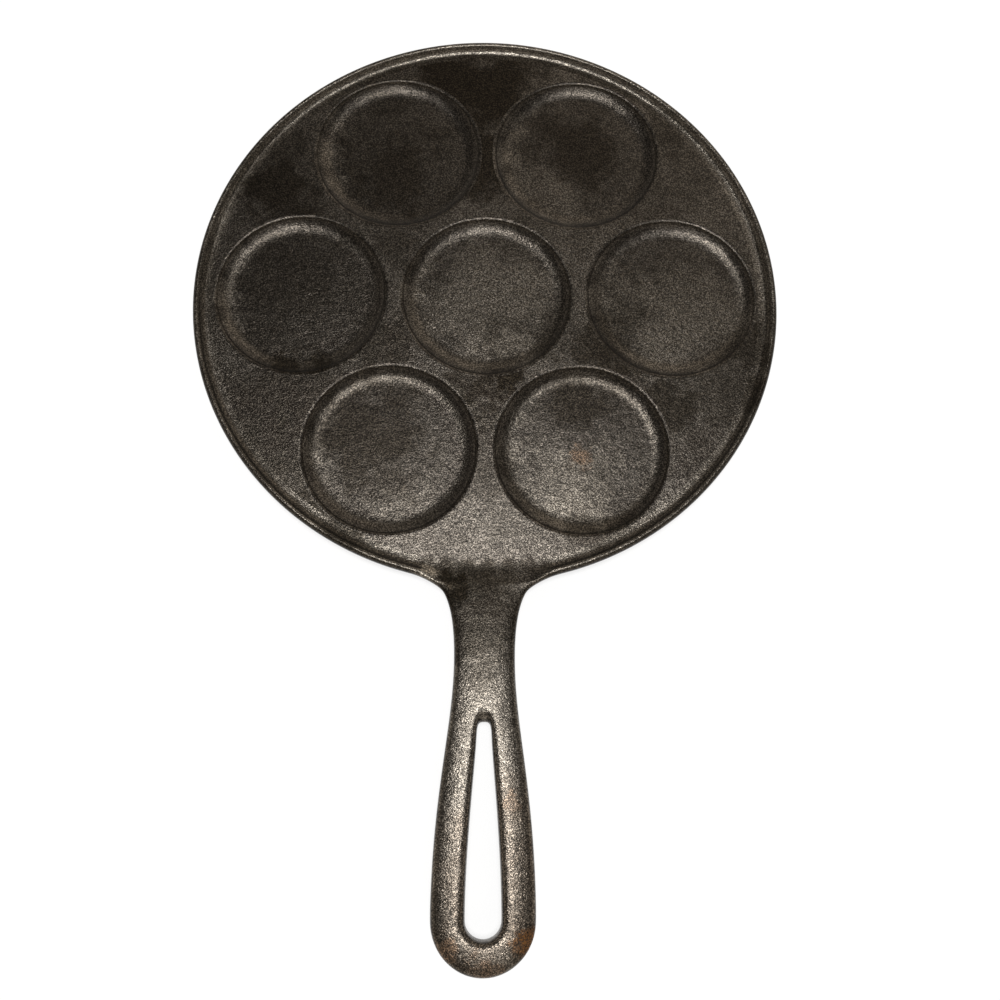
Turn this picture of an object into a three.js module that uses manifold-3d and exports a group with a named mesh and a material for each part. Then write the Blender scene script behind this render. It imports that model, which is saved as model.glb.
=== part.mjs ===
// Plett pan: a griddle sand-cast in iron, with shallow round wells for small pancakes
// and a long looped handle. The real pan is one casting. Here it is divided into the regions
// that a founder would name, which meet face to face across a narrow section gap.
// Lengths are in millimetres and angles in radians. +Z is up, the feet of the wells stand on z = 0,
// the centre well is on the Z axis and the handle points along -Y.

import * as THREE from 'three';
import { TessellateModifier } from 'three/addons/modifiers/TessellateModifier.js';
import { mergeVertices } from 'three/addons/utils/BufferGeometryUtils.js';
import loadManifold from 'manifold-3d';

const wasm = await loadManifold();
wasm.setup();

// Driving dimensions of the wells
const wellDiameter = 70;
const wellDepth = 3;
const wellFloorThickness = 4;
const wellCornerRun = 8;
const wellFootWall = 6.5;
const wellLand = 1;
const webBetweenWells = 6.4;

// Driving dimensions of the plate and its rim
const plateThickness = 4;
const plateEdgeRadius = 2.5;
const rimMargin = 1.2;
const rimFilletRun = 4.2;
const rimWidth = 3.2;
const rimHeight = 2.6;

// Driving dimensions of the handle, with its lengths counted from the outside of the rim
const handleLength = 138.6;
const rootLength = 14;
const rootWidth = 48;
const rootThickness = 6.5;
const waistPlace = 29;
const waistWidth = 22.7;
const neckLength = 52.3;
const loopWidth = 37.5;
const loopThickness = 11;
const slotWidth = 12.9;
const slotInnerWidth = 5;
const handleEdgeRadius = 3;
const handleRise = 4.2;

// Clearance between neighbouring regions of the casting
const sectionGap = 0.3;

// How fast the handle's curves turn, as shares of the length that each curve spans, the power of its arch,
// and the largest share of a wall that a rounding may take up
const flareWaistShare = 0.73;
const flareRimShare = 0.6;
const outlineWaistShare = 0.28;
const outlineLoopShare = 0.48;
const slotOuterShare = 0.4;
const slotInnerShare = 0.1;
const archPower = 3.5;
const edgeRadiusLimit = 0.45;
const crownHeightLimit = 0.5;

// Smoothness of the round stretches
const wellSides = 36;
const rimSides = 72;
const cornerSteps = 5;
const rimFilletSteps = 4;
const crownSteps = 6;
const plateEdgeSteps = 3;
const outlineSteps = 8;
const handleEdgeSteps = 3;
const handleFacetLength = 12;
const handleFacetPasses = 8;
const weldDistance = 1e-4;

// Finish of the casting
const seasonedColor = 0x2b2724;
const bareIronColor = 0x3d3731;
const seasonedRoughness = 0.55;
const bareIronRoughness = 0.5;
const ironMetalness = 0.7;

// Sizes worked out from the driving dimensions
const wellRadius = wellDiameter / 2;
const wellFloorRadius = wellRadius - wellCornerRun;
const wellFootRadius = wellFloorRadius + wellFootWall;
const wellLandRadius = wellRadius + wellLand;
const wellRingRadius = wellDiameter + webBetweenWells;
const floorTop = wellFloorThickness;
const plateTop = floorTop + wellDepth;
const plateUnderside = plateTop - plateThickness;
const rimTop = plateTop + rimHeight;
const rimToe = wellRingRadius + wellRadius + rimMargin;
const panRadius = rimToe + rimFilletRun + rimWidth;

const rootHalf = rootWidth / 2;
const rootY = -Math.sqrt(panRadius ** 2 - rootHalf ** 2);
const waistHalf = waistWidth / 2;
const waistY = -panRadius - waistPlace;
const loopHalf = loopWidth / 2;
const slotHalf = slotWidth / 2;
const slotInnerHalf = slotInnerWidth / 2;
const armWidth = loopHalf - slotHalf;
const edgeRadius = Math.min(handleEdgeRadius, edgeRadiusLimit * armWidth, edgeRadiusLimit * loopThickness);
const loopCenterY = -panRadius - handleLength + loopHalf;
const slotInnerY = -panRadius - neckLength - slotInnerHalf;
const rootEndY = -panRadius - rootLength;

// The wells that stand in a ring around the centre well, counted from +X towards the back
const ringWellNames = [
  'right_well',
  'back_right_well',
  'back_left_well',
  'left_well',
  'front_left_well',
  'front_right_well',
];

// One closed triangle mesh with shared corners and no collapsed triangles
function weld(geometry) {
  const bare = new THREE.BufferGeometry();
  bare.setAttribute('position', geometry.getAttribute('position'));
  bare.setIndex(geometry.index);
  const merged = mergeVertices(bare, weldDistance);
  const corners = merged.index.array;
  const kept = [];
  for (let i = 0; i < corners.length; i += 3) {
    const [a, b, c] = corners.slice(i, i + 3);
    if (a !== b && b !== c && c !== a) {
      kept.push(a, b, c);
    }
  }
  merged.setIndex(kept);
  return merged;
}

function solidOf(geometry) {
  const welded = weld(geometry);
  return new wasm.Manifold(new wasm.Mesh({
    numProp: 3,
    vertProperties: new Float32Array(welded.getAttribute('position').array),
    triVerts: new Uint32Array(welded.index.array),
  }));
}

function geometryOf(solid) {
  const mesh = solid.getMesh();
  const geometry = new THREE.BufferGeometry();
  geometry.setAttribute('position', new THREE.BufferAttribute(mesh.vertProperties, 3));
  geometry.setIndex(new THREE.BufferAttribute(mesh.triVerts, 1));
  return geometry;
}

// A solid of revolution about +Z, from a profile of [radius, height] points
function turned(profile, sides) {
  const points = profile.map(([radius, height]) => new THREE.Vector2(radius, height));
  const geometry = new THREE.LatheGeometry(points, sides);
  geometry.rotateX(Math.PI / 2);
  return geometry;
}

function cylinder(radius, low, high, sides) {
  return turned([[0, low], [radius, low], [radius, high], [0, high]], sides);
}

// Points of a quarter or half ellipse about a centre, from one angle to another
function arc(center, radii, from, to, steps) {
  const points = [];
  for (let i = 0; i <= steps; i += 1) {
    const angle = from + (to - from) * i / steps;
    points.push([center[0] + radii[0] * Math.cos(angle), center[1] + radii[1] * Math.sin(angle)]);
  }
  return points;
}

function iron(color, roughness) {
  return new THREE.MeshStandardMaterial({ color, roughness, metalness: ironMetalness });
}

function seasonedMesh(name, geometry) {
  const mesh = new THREE.Mesh(geometry, iron(seasonedColor, seasonedRoughness));
  mesh.name = name;
  return mesh;
}

function handleMesh(name, solid) {
  const mesh = new THREE.Mesh(geometryOf(solid), iron(bareIronColor, bareIronRoughness));
  mesh.name = name;
  return mesh;
}

// Middles of the wells on the plate: the centre one first, then the ring
function wellPlaces() {
  const places = [{ name: 'center_well', x: 0, y: 0 }];
  ringWellNames.forEach((name, i) => {
    const angle = 2 * Math.PI * i / ringWellNames.length;
    places.push({ name, x: wellRingRadius * Math.cos(angle), y: wellRingRadius * Math.sin(angle) });
  });
  return places;
}

// A well is a shallow cup with a flat foot below, a rounded corner inside and a narrow land around its edge
function wellGeometry() {
  const corner = arc([wellFloorRadius, plateTop], [wellCornerRun, wellDepth], 0, -Math.PI / 2, cornerSteps);
  return weld(turned([
    [0, 0],
    [wellFootRadius, 0],
    [wellLandRadius, plateUnderside],
    [wellLandRadius, plateTop],
    ...corner,
    [0, floorTop],
  ], wellSides));
}

// The plate is the flat web between the wells, with a rounded lower edge
function plateSolid() {
  const edgeCenter = [panRadius - plateEdgeRadius, plateUnderside + plateEdgeRadius];
  const edge = arc(edgeCenter, [plateEdgeRadius, plateEdgeRadius], -Math.PI / 2, 0, plateEdgeSteps);
  let plate = solidOf(turned([
    [0, plateUnderside],
    ...edge,
    [panRadius, plateTop],
    [0, plateTop],
  ], rimSides));
  for (const { x, y } of wellPlaces()) {
    const opening = cylinder(
      wellLandRadius + sectionGap,
      plateUnderside - plateThickness,
      plateTop + plateThickness,
      wellSides,
    );
    opening.translate(x, y, 0);
    plate = plate.subtract(solidOf(opening));
  }
  return plate;
}

// The rim rises from the plate in a hollow fillet and ends in a round crown
function rimGeometry() {
  const crownHalf = rimWidth / 2;
  const crownHeight = Math.min(crownHalf, crownHeightLimit * rimHeight);
  const filletHeight = rimHeight - crownHeight;
  const seat = plateTop + sectionGap;
  const seatAngle = -Math.asin(1 - sectionGap / filletHeight);
  const filletCenter = [rimToe, plateTop + filletHeight];
  const fillet = arc(filletCenter, [rimFilletRun, filletHeight], seatAngle, 0, rimFilletSteps);
  const crownCenter = [panRadius - crownHalf, rimTop - crownHeight];
  const crown = arc(crownCenter, [crownHalf, crownHeight], Math.PI, 0, crownSteps);
  const profile = [...fillet, ...crown.slice(1), [panRadius, seat]];
  profile.push(profile[0]);
  return weld(turned(profile.reverse(), rimSides));
}

// Right side of the handle's outline in plan: the flare at its root, then the swell to the widest loop.
// Each stretch is the four control points of a curve, given outwards from the rim.
function outlineStretches() {
  const flareReach = flareRimShare * (rootHalf - waistHalf);
  const run = waistY - loopCenterY;
  return [
    [
      [rootHalf, rootY],
      [rootHalf + flareReach * rootY / panRadius, rootY - flareReach * rootHalf / panRadius],
      [waistHalf, waistY + flareWaistShare * (rootY - waistY)],
      [waistHalf, waistY],
    ],
    [
      [waistHalf, waistY],
      [waistHalf, waistY - outlineWaistShare * run],
      [loopHalf, loopCenterY + outlineLoopShare * run],
      [loopHalf, loopCenterY],
    ],
  ];
}

// The long teardrop slot through the handle's loop, clockwise
function slotOutline() {
  const run = slotInnerY - loopCenterY;
  const slot = new THREE.Path();
  slot.absarc(0, loopCenterY, slotHalf, 0, -Math.PI, true);
  slot.bezierCurveTo(
    -slotHalf, loopCenterY + slotOuterShare * run,
    -slotInnerHalf, slotInnerY - slotInnerShare * run,
    -slotInnerHalf, slotInnerY,
  );
  slot.absarc(0, slotInnerY, slotInnerHalf, Math.PI, 0, true);
  slot.bezierCurveTo(
    slotInnerHalf, slotInnerY - slotInnerShare * run,
    slotHalf, loopCenterY + slotOuterShare * run,
    slotHalf, loopCenterY,
  );
  return slot;
}

// Outline in plan, counter-clockwise: out along the left side, round the end and back along the right.
// Its inner end lies under the rim, where the pan's own metal takes its place.
function handleOutline() {
  const stretches = outlineStretches();
  const buriedY = rootY + panRadius - rimToe + 2 * edgeRadius;
  const outline = new THREE.Shape();
  outline.moveTo(-rootHalf, buriedY);
  outline.lineTo(-rootHalf, rootY);
  for (const [, first, second, end] of stretches) {
    outline.bezierCurveTo(-first[0], first[1], -second[0], second[1], -end[0], end[1]);
  }
  outline.absarc(0, loopCenterY, loopHalf, -Math.PI, 0, false);
  for (const [start, first, second] of stretches.reverse()) {
    outline.bezierCurveTo(...second, ...first, ...start);
  }
  outline.lineTo(rootHalf, buriedY);
  outline.holes.push(slotOutline());
  return outline;
}

// Share of the handle's length that lies between the rim and a point, from 0 to 1
function shareAlong(y) {
  return THREE.MathUtils.clamp((-panRadius - y) / handleLength, 0, 1);
}

// The handle leaves the rim steeply, level with its crown, and flattens out towards the loop
function archedHeight(share) {
  const rootMiddle = rimTop - rootThickness / 2;
  return rootMiddle + handleRise * (1 - (1 - share) ** archPower);
}

function handleSolid() {
  const level = new THREE.ExtrudeGeometry(handleOutline(), {
    depth: loopThickness - 2 * edgeRadius,
    curveSegments: outlineSteps,
    bevelSize: edgeRadius,
    bevelOffset: -edgeRadius,
    bevelThickness: edgeRadius,
    bevelSegments: handleEdgeSteps,
  });
  const geometry = new TessellateModifier(handleFacetLength, handleFacetPasses).modify(level);
  geometry.translate(0, 0, edgeRadius - loopThickness / 2);
  const position = geometry.getAttribute('position');
  for (let i = 0; i < position.count; i += 1) {
    const share = shareAlong(position.getY(i));
    const thickness = THREE.MathUtils.lerp(rootThickness, loopThickness, share);
    position.setZ(i, archedHeight(share) + position.getZ(i) * thickness / loopThickness);
  }
  const pan = cylinder(panRadius + sectionGap, -rimTop, 2 * rimTop, rimSides);
  return solidOf(geometry).subtract(solidOf(pan));
}

// A block that holds one region of the handle, between two planes across it
function handleRegion(handle, fromX, toX, fromY, toY) {
  const reachUp = rimTop + handleRise + loopThickness;
  const block = new THREE.BoxGeometry(toX - fromX, fromY - toY, 2 * reachUp);
  block.translate((fromX + toX) / 2, (fromY + toY) / 2, 0);
  return handle.intersect(solidOf(block));
}

function handleMeshes() {
  const handle = handleSolid();
  const reach = rootWidth;
  const tipY = loopCenterY - loopWidth;
  const root = handleRegion(handle, -reach, reach, 0, rootEndY);
  const neck = handleRegion(handle, -reach, reach, rootEndY - sectionGap, slotInnerY);
  const leftArm = handleRegion(handle, -reach, 0, slotInnerY - sectionGap, loopCenterY);
  const rightArm = handleRegion(handle, 0, reach, slotInnerY - sectionGap, loopCenterY);
  const end = handleRegion(handle, -reach, reach, loopCenterY - sectionGap, tipY);
  return [
    handleMesh('handle_root', root),
    handleMesh('handle_neck', neck),
    handleMesh('handle_left_arm', leftArm),
    handleMesh('handle_right_arm', rightArm),
    handleMesh('handle_end', end),
  ];
}

function wellMeshes() {
  return wellPlaces().map(({ name, x, y }) => {
    const well = seasonedMesh(name, wellGeometry());
    well.position.set(x, y, 0);
    return well;
  });
}

const plettPan = new THREE.Group();
plettPan.add(seasonedMesh('griddle_plate', geometryOf(plateSolid())));
plettPan.add(seasonedMesh('rim', rimGeometry()));
plettPan.add(...wellMeshes());
plettPan.add(...handleMeshes());

export default plettPan;
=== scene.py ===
"""Plett pan: one iron casting with seven shallow wells, a low rim and a looped handle.

Lengths are in metres, +Z is up, the wells stand on z = 0 and the handle points along -Y.
"""

import math
from typing import NamedTuple

import bmesh
import bpy
from mathutils import Matrix, Vector
from mathutils.geometry import interpolate_bezier


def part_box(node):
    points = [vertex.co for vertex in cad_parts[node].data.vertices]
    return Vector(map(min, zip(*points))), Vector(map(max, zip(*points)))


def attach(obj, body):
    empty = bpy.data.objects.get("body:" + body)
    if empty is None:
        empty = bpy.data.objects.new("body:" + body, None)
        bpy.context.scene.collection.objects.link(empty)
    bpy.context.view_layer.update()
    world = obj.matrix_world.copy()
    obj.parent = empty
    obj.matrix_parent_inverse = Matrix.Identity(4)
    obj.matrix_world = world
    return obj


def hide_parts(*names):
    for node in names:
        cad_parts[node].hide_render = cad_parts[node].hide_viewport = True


bl_info = {
    "name": "Plett pan",
    "version": (1, 0, 0),
    "blender": (4, 5, 0),
    "location": "3D View > Sidebar > Plett pan",
    "description": "Casts a plett pan in seasoned iron over its measured solids",
    "category": "Add Mesh",
}

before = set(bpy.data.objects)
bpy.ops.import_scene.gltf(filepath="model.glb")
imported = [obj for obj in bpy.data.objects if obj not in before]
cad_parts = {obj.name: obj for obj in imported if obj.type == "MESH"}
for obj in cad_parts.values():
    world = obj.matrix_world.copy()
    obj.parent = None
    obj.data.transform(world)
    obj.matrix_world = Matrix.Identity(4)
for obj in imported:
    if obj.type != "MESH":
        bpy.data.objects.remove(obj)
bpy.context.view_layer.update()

BODY = "root"
MM = 0.001

# Nodes of the casting
WELL_NODES = (
    "center_well",
    "right_well",
    "back_right_well",
    "back_left_well",
    "left_well",
    "front_left_well",
    "front_right_well",
)
HANDLE_NODES = ("handle_root", "handle_neck", "handle_left_arm", "handle_right_arm", "handle_end")

# Places that the solids give
WELL_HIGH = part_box("center_well")[1]
PLATE_LOW, PLATE_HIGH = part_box("griddle_plate")
RIM_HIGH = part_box("rim")[1]
OUTER_WELL_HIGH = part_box("right_well")[1]
LOOP_LOW, LOOP_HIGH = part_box("handle_end")
LAND_RADIUS = WELL_HIGH.x
PLATE_TOP = PLATE_HIGH.z
PLATE_UNDERSIDE = PLATE_LOW.z
PAN_RADIUS = PLATE_HIGH.x
RIM_TOP = RIM_HIGH.z
HANDLE_TIP = LOOP_LOW.y
LOOP_HALF = LOOP_HIGH.x

# Depth of the wells under the plate, and the height of their floors
WELL_DEPTH = 3 * MM
WELL_FLOOR = PLATE_TOP - WELL_DEPTH

# Smoothness of the round stretches
WELL_SIDES = 96
RIM_SIDES = 120
CORNER_STEPS = 12
ROUNDING_STEPS = 5
SMOOTH_LEVELS = 2
CURVE_SAMPLES = 120

# Corners nearer than this are one corner, and folds sharper than this stay sharp
CLOSE = 0.001 * MM
SHARP_ANGLE = math.radians(40)


def length(name, description, default):
    """A length that a user may set."""
    return bpy.props.FloatProperty(
        name=name, description=description, default=default, min=0, precision=4, unit="LENGTH"
    )


def color(name, description, default):
    """A linear colour that a user may set."""
    return bpy.props.FloatVectorProperty(
        name=name, description=description, default=default, min=0, max=1, subtype="COLOR"
    )


def share(name, description, default):
    """A number from 0 to 1 that a user may set."""
    return bpy.props.FloatProperty(
        name=name, description=description, default=default, min=0, max=1, subtype="FACTOR"
    )


class PlettPanSizes(bpy.types.PropertyGroup):
    """Sizes of the casting that its solids don't give by themselves"""

    well_land: length("Well land", "Flat collar outside a well's edge", 1 * MM)
    well_edge_run: length("Well edge run", "Run of the arc that rounds a well's upper edge", 1.5 * MM)
    well_edge_drop: length("Well edge drop", "Drop of the arc that rounds a well's upper edge", 0.9 * MM)
    well_depth: length("Well depth", "Depth of a well under the plate", WELL_DEPTH)
    well_corner: length("Well corner", "Run of the hollow corner at a well's floor", 8 * MM)
    foot_radius: length("Foot radius", "Radius of the flat foot under a well", 33.5 * MM)
    foot_edge: length("Foot edge", "Rounding of the foot's edge", 1.2 * MM)
    foot_fillet: length("Foot fillet", "Fillet between a foot's wall and the plate", 1.4 * MM)

    rim_toe: length("Rim toe", "Flat plate between the outer wells' land and the rim", 0.2 * MM)
    rim_width: length("Rim width", "Thickness of the rim under its crown", 3.2 * MM)

    root_width: length("Root width", "Width of the handle where its flare leaves the rim", 48 * MM)
    root_thickness: length("Root thickness", "Thickness of the handle at the rim", 6.5 * MM)
    root_dip: length("Root dip", "How far the handle's top starts under its arch", 1.1 * MM)
    root_dip_run: length("Root dip run", "How far from the rim the dip ends", 30 * MM)
    waist_place: length("Waist place", "Distance of the handle's waist from the rim", 29 * MM)
    waist_width: length("Waist width", "Width of the handle at its waist", 22.7 * MM)
    neck_length: length("Neck length", "Length of the handle up to its slot", 52.3 * MM)
    slot_width: length("Slot width", "Width of the slot at its outer end", 12.9 * MM)
    slot_inner_width: length("Slot inner width", "Width of the slot at its inner end", 5 * MM)
    slot_slope: length("Slot slope", "How far the slot's inner end is drawn back above and below", 4 * MM)
    loop_thickness: length("Loop thickness", "Thickness of the handle at its end", 11 * MM)
    handle_rise: length("Handle rise", "How far the handle rises from the rim to its end", 4.2 * MM)


class PlettPanFinish(bpy.types.PropertyGroup):
    """Colours and grain of the iron, and the floor's colour"""

    plate_iron: color("Plate iron", "Iron of the plate, under a thin film of oil", (0.057, 0.050, 0.042))
    well_iron: color("Well iron", "Iron in the wells, which see the most heat", (0.038, 0.033, 0.0275))
    handle_iron: color("Handle iron", "Iron of the rim and handle, rubbed by hands", (0.098, 0.087, 0.073))
    # Worn iron is also the colour of the painted sheen in the wells and of the painted highlight on the
    # rim's crown
    worn_iron_and_sheen: color("Worn iron", "Iron where the turner and the hand rub the oil off", (0.26, 0.23, 0.19))
    # The seasoning colour is also what the painted shade darkens the iron towards
    seasoning_and_shade: color("Seasoning", "Thick baked-on oil", (0.0115, 0.009, 0.006))
    rust: color("Rust", "Old rust", (0.075, 0.033, 0.008))
    grain_size: length("Grain size", "Spacing of the sand grains' marks", 0.55 * MM)
    grain_depth: length("Grain depth", "Depth of the sand grains' marks", 0.12 * MM)
    # The grain's pits and tops carry painted shade and painted glints in the iron's colour
    grain_pit_shade: share("Grain dark", "Share of the iron's colour in the grain's pits", 0.32)
    grain_top_glint: bpy.props.FloatProperty(
        name="Grain light", description="Share of the iron's colour on the grain's tops", default=2.5, min=1
    )
    iron_roughness: share("Iron roughness", "Roughness under a thin film of oil", 0.3)
    seasoning_roughness: share("Seasoning roughness", "Roughness of thick baked-on oil", 0.36)
    worn_roughness: share("Worn roughness", "Roughness of bare worn iron", 0.45)
    rust_roughness: share("Rust roughness", "Roughness of rust", 0.85)
    floor: color("Floor", "Studio floor", (0.9, 0.9, 0.9))


# Modelling by hand


def start_piece():
    """Leaves edit mode and clears the selection, so that the next tool touches nothing else."""
    active = bpy.context.view_layer.objects.active
    if active and active.mode != "OBJECT":
        bpy.ops.object.mode_set(mode="OBJECT")
    bpy.ops.object.select_all(action="DESELECT")


def take_up(piece):
    """Selects one piece alone and makes it the active one."""
    start_piece()
    piece.select_set(True)
    bpy.context.view_layer.objects.active = piece


def add_circle(sides, radius, height, fill):
    """A new circle about the Z axis, with its place in its mesh."""
    start_piece()
    place = (0, 0, height)
    bpy.ops.mesh.primitive_circle_add(vertices=sides, radius=radius, fill_type=fill, location=place)
    bpy.ops.object.transform_apply(location=True, rotation=True, scale=True)
    return bpy.context.object


def open_mesh(element):
    """Enters edit mode on the active piece, with all of its elements of one kind selected."""
    bpy.ops.object.mode_set(mode="EDIT")
    bpy.ops.mesh.select_mode(type=element)
    bpy.ops.mesh.select_all(action="SELECT")


def clean_mesh():
    """Merges doubles and points every face outwards."""
    bpy.ops.mesh.select_all(action="SELECT")
    bpy.ops.mesh.remove_doubles(threshold=CLOSE)
    bpy.ops.mesh.normals_make_consistent(inside=False)


def close_mesh():
    """Cleans the mesh and leaves edit mode."""
    clean_mesh()
    bpy.ops.object.mode_set(mode="OBJECT")


def extrude_profile(profile):
    """Carries the selected ring or round face, which is at the profile's first point, along the profile."""
    for (radius, height), (next_radius, next_height) in zip(profile, profile[1:]):
        scale = next_radius / radius
        lift = (0, 0, next_height - height)
        bpy.ops.mesh.extrude_region_move(TRANSFORM_OT_translate={"value": lift})
        bpy.ops.transform.resize(value=(scale, scale, 1), center_override=(0, 0, 0))


def arc(center, radii, start, end, steps):
    """Points of an upright elliptic arc between two angles in degrees, as pairs of radius and height."""
    points = []
    for step in range(steps + 1):
        angle = math.radians(start + (end - start) * step / steps)
        points.append((center[0] + radii[0] * math.cos(angle), center[1] + radii[1] * math.sin(angle)))
    return points


def finish_piece(piece, name, material, nodes):
    """Names a piece, smooths its shading, gives it its finish and sets it on the pan."""
    piece.name = name
    piece.data.name = name
    take_up(piece)
    bpy.ops.object.shade_smooth_by_angle(angle=SHARP_ANGLE)
    piece.data.materials.clear()
    piece.data.materials.append(material)
    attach(piece, BODY)
    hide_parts(*nodes)


# Wells

# Where a well's rounded edge turns into its wall, in degrees, the power of the wall's hollow curve, and the
# rings of its floor, in shares of the floor's radius
EDGE_END = 170
COVE_POWER = 2.5
FLOOR_RINGS = (0.75, 0.5, 0.25)


def well_profile(sizes):
    """Section of a well from its flat foot, up its outside and down into its hollow."""
    edge_radius = LAND_RADIUS - sizes.well_land
    floor = PLATE_TOP - sizes.well_depth
    floor_radius = edge_radius - sizes.well_corner
    foot_center = (sizes.foot_radius - sizes.foot_edge, sizes.foot_edge)
    fillet_radius = LAND_RADIUS - sizes.foot_fillet / 2
    fillet_center = (fillet_radius + sizes.foot_fillet, PLATE_UNDERSIDE - sizes.foot_fillet)

    profile = arc(foot_center, (sizes.foot_edge,) * 2, -90, 0, ROUNDING_STEPS)
    profile += arc(fillet_center, (sizes.foot_fillet,) * 2, 180, 90, ROUNDING_STEPS)
    profile += [(LAND_RADIUS, PLATE_UNDERSIDE), (LAND_RADIUS, PLATE_TOP)]
    edge_center = (edge_radius + sizes.well_edge_run / 2, PLATE_TOP - sizes.well_edge_drop)
    edge_radii = (sizes.well_edge_run, sizes.well_edge_drop)
    profile += arc(edge_center, edge_radii, 90, EDGE_END, ROUNDING_STEPS)
    wall_radius, wall_top = profile[-1]
    for step in range(1, CORNER_STEPS + 1):
        left = 1 - step / CORNER_STEPS
        radius = floor_radius + (wall_radius - floor_radius) * left
        profile.append((radius, floor + (wall_top - floor) * left**COVE_POWER))
    profile += [(floor_radius * inner, floor) for inner in FLOOR_RINGS]
    return profile


def model_well(sizes):
    """One well about the Z axis: a round foot, extruded ring by ring along the well's section."""
    profile = well_profile(sizes)
    well = add_circle(WELL_SIDES, *profile[0], "NGON")
    open_mesh("FACE")
    extrude_profile(profile)
    bpy.ops.mesh.poke()
    close_mesh()
    return well


def copy_well(pattern, place):
    """A copy of the pattern well with its own mesh, moved to its place in the ring."""
    take_up(pattern)
    bpy.ops.object.duplicate(linked=False)
    bpy.ops.transform.translate(value=place)
    bpy.ops.object.transform_apply(location=True, rotation=True, scale=True)
    return bpy.context.object


def node_middle(node):
    """Middle of a node in plan."""
    low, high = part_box(node)
    return Vector(((low.x + high.x) / 2, (low.y + high.y) / 2, 0))


class PlettWells(bpy.types.Operator):
    """Casts the centre well and copies it to the ring of six"""

    bl_idname = "mesh.plett_wells"
    bl_label = "Wells"
    bl_options = {"REGISTER", "UNDO"}

    def execute(self, context):
        pattern = model_well(context.scene.plett_pan_sizes)
        wells = [pattern]
        for node in WELL_NODES[1:]:
            wells.append(copy_well(pattern, node_middle(node)))
        material = well_finish(context.scene.plett_pan_finish)
        for well, node in zip(wells, WELL_NODES):
            finish_piece(well, node + "_casting", material, [node])
        return {"FINISHED"}


# Plate

# Height of the tool that punches the wells' holes, in thicknesses of the plate
PUNCH_HEIGHT = 3


def rim_toe_radius(sizes):
    """Where the rim's fillet leaves the plate."""
    return OUTER_WELL_HIGH.x + sizes.rim_toe


def model_plate(sizes):
    """A flat disc with a round hole for each well."""
    thickness = PLATE_TOP - PLATE_UNDERSIDE
    sides = RIM_SIDES * 2**SMOOTH_LEVELS
    plate = add_circle(sides, rim_toe_radius(sizes), PLATE_UNDERSIDE, "NGON")
    open_mesh("FACE")
    bpy.ops.mesh.extrude_region_move(TRANSFORM_OT_translate={"value": (0, 0, thickness)})
    close_mesh()

    cutters = []
    for node in WELL_NODES:
        start_piece()
        place = node_middle(node) + Vector((0, 0, (PLATE_TOP + PLATE_UNDERSIDE) / 2))
        bpy.ops.mesh.primitive_cylinder_add(
            vertices=WELL_SIDES, radius=LAND_RADIUS, depth=PUNCH_HEIGHT * thickness, location=place
        )
        cutters.append(bpy.context.object)
    take_up(cutters[0])
    for cutter in cutters[1:]:
        cutter.select_set(True)
    bpy.ops.object.join()
    punch = bpy.context.object

    take_up(plate)
    holes = plate.modifiers.new("Well holes", "BOOLEAN")
    holes.operation = "DIFFERENCE"
    holes.solver = "EXACT"
    holes.object = punch
    bpy.ops.object.modifier_apply(modifier=holes.name)
    bpy.data.objects.remove(punch, do_unlink=True)
    return plate


class PlettPlate(bpy.types.Operator):
    """Casts the flat plate between the wells"""

    bl_idname = "mesh.plett_plate"
    bl_label = "Plate"
    bl_options = {"REGISTER", "UNDO"}

    def execute(self, context):
        plate = model_plate(context.scene.plett_pan_sizes)
        material = plate_finish(context.scene.plett_pan_finish)
        finish_piece(plate, "plate_casting", material, ["griddle_plate"])
        return {"FINISHED"}


# Rim and handle

# The smoothing draws a ring of straight sides in by this share, so the cage is made larger by it
RING_SHRINK = (2 + math.cos(2 * math.pi / RIM_SIDES)) / 3

# Corners of the rim's cage: shares of the fillet's run and the rim's height, then of the rim's width and
# height from its inside, then of its width and the plate's thickness from its outside
FILLET_CORNERS = ((0, 0), (0.4, 0), (0.76, 0.09))
CROWN_CORNERS = ((0.04, 0.44), (0.2, 0.97), (0.69, 1.03), (1, 0.54))
OUTER_CORNERS = ((0.02, 0.85), (0.16, 0.33), (0.44, 0), (1.25, 0))

# Rows of the rim's cage that the handle grows out of, and the cage's columns to each side of its middle
RIM_ROWS = (5, 6, 7, 8)
SECTION_ROWS = len(RIM_ROWS)
HANDLE_COLUMNS = 4

# Places of the cage's sections along the neck, counted from the rim, numbers of sections along the arms and
# round the bow, and how far beyond the slot's inner end the arms begin
NECK_STEPS = (1.8 * MM, 4.2 * MM, 7.5 * MM, 12.5 * MM, 19 * MM, 27 * MM, 36 * MM, 44 * MM)
ARM_STEPS = 7
BOW_STEPS = 8
ARM_START = 6 * MM

# Slope from the plate up to the handle: row of the rim's cage, run from its toe and rise from the plate
ROOT_SLOPE = (
    (1, 1.4 * MM, 0.12 * MM),
    (2, 3 * MM, 0.4 * MM),
    (3, 4.6 * MM, 0.78 * MM),
    (4, 6.3 * MM, 1.24 * MM),
    (5, 8 * MM, 1.7 * MM),
    (8, 7.7 * MM, -3.7 * MM),
)
# Columns from the handle's middle where the slope is whole and where the rim's crown is whole, and the
# share of its rise that the slope loses from its middle to the handle's outer columns
SLOPE_WHOLE = 2.8
CROWN_WHOLE = 4.2
SLOPE_FALL = 0.8

# Corners of the neck's cage in shares of its half-width and half-thickness: one column after another from
# the middle, the four rows of its side, and the height of the rows inside it
NECK_COLUMNS = ((0, 1.03), (0.2, 1.02), (0.45, 0.975), (0.74, 0.87))
NECK_SIDE = ((0.95, 0.7), (1, 0.22), (1, -0.22), (0.95, -0.66))
INSIDE_ROW = 0.3

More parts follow.
